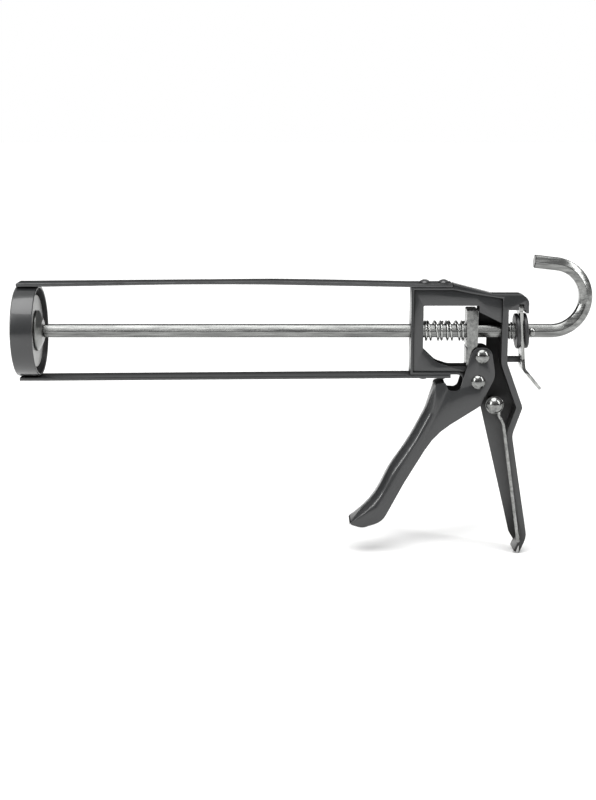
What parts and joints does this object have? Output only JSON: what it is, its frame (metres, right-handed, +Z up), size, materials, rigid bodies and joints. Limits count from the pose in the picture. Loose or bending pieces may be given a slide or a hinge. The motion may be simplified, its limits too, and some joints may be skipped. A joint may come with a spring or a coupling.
{
  "type": "caulking gun",
  "caption": "Skeleton caulking gun with a hexagon push rod, plunger, squeeze trigger, sprung drive block, release lever and folding piercing wire.",
  "frame": {"origin": "centre of the plunger's front face, on the push rod's axis, with the rod fully forward", "axes": "+X along the push rod from the front ring to the hook, +Z up towards the top rail, -Y the side with the piercing wire and the rivet heads"},
  "size_m": [0.3649, 0.0576, 0.1947],
  "materials": {
    "grey_enamel": "semi-gloss enamel on pressed steel",
    "zinc_plate": "bright zinc plate on steel",
    "spring_steel": "zinc-plated spring wire",
    "black_washer": "blackened steel"
  },
  "bodies": {
    "frame": {"front_ring": "grey_enamel", "top_rail": "grey_enamel", "bottom_rail": "grey_enamel", "frame_shell": "grey_enamel", "frame_cover": "grey_enamel", "top_rail_rivet_front": "grey_enamel", "top_rail_rivet_rear": "grey_enamel", "bottom_rail_rivet_front": "grey_enamel", "bottom_rail_rivet_rear": "grey_enamel", "trigger_pivot_rivet": "zinc_plate", "wire_pivot_rivet": "zinc_plate", "drive_spring_front": "spring_steel", "drive_spring_rear": "spring_steel", "release_spring": "spring_steel"},
    "rod": {"push_rod": "zinc_plate", "rod_hook": "zinc_plate", "plunger_disc": "zinc_plate", "plunger_boss": "zinc_plate", "rod_stop_pin": "zinc_plate"},
    "trigger": {"trigger": "grey_enamel", "push_pin": "zinc_plate"},
    "driver": {"drive_block": "zinc_plate"},
    "release": {"release_lever": "zinc_plate", "brake_disc_front": "black_washer", "brake_disc_rear": "black_washer"},
    "wire": {"piercing_wire": "zinc_plate"}
  },
  "joints": [
    {"name": "rod_slide", "type": "slide", "parent": "frame", "child": "rod", "axis": [1, 0, 0], "range_m": [0, 0.232]},
    {"name": "trigger_pivot", "type": "hinge", "parent": "frame", "child": "trigger", "pos_m": [0.2835, 0, -0.0318], "axis": [0, -1, 0], "range_deg": [0, 24], "stiffness_Nm_per_rad": 0.4, "springref_deg": -34.38},
    {"name": "driver_slide", "type": "slide", "parent": "frame", "child": "driver", "axis": [-1, 0, 0], "range_m": [0, 0.0075], "deforming": ["drive_spring_front", "drive_spring_rear"]},
    {"name": "release_pivot", "type": "hinge", "parent": "frame", "child": "release", "pos_m": [0.3098, 0, 0.0156], "axis": [0, 1, 0], "range_deg": [0, 4.5], "stiffness_Nm_per_rad": 0.3, "springref_deg": -17.19, "deforming": ["release_spring"]},
    {"name": "wire_pivot", "type": "hinge", "parent": "frame", "child": "wire", "pos_m": [0.2938, 0, -0.0459], "axis": [0, -1, 0], "range_deg": [0, 120]}
  ],
  "couplings": [
    {"joint": "driver_slide", "follows": "trigger_pivot", "m_per_rad": 0.0164}
  ]
}
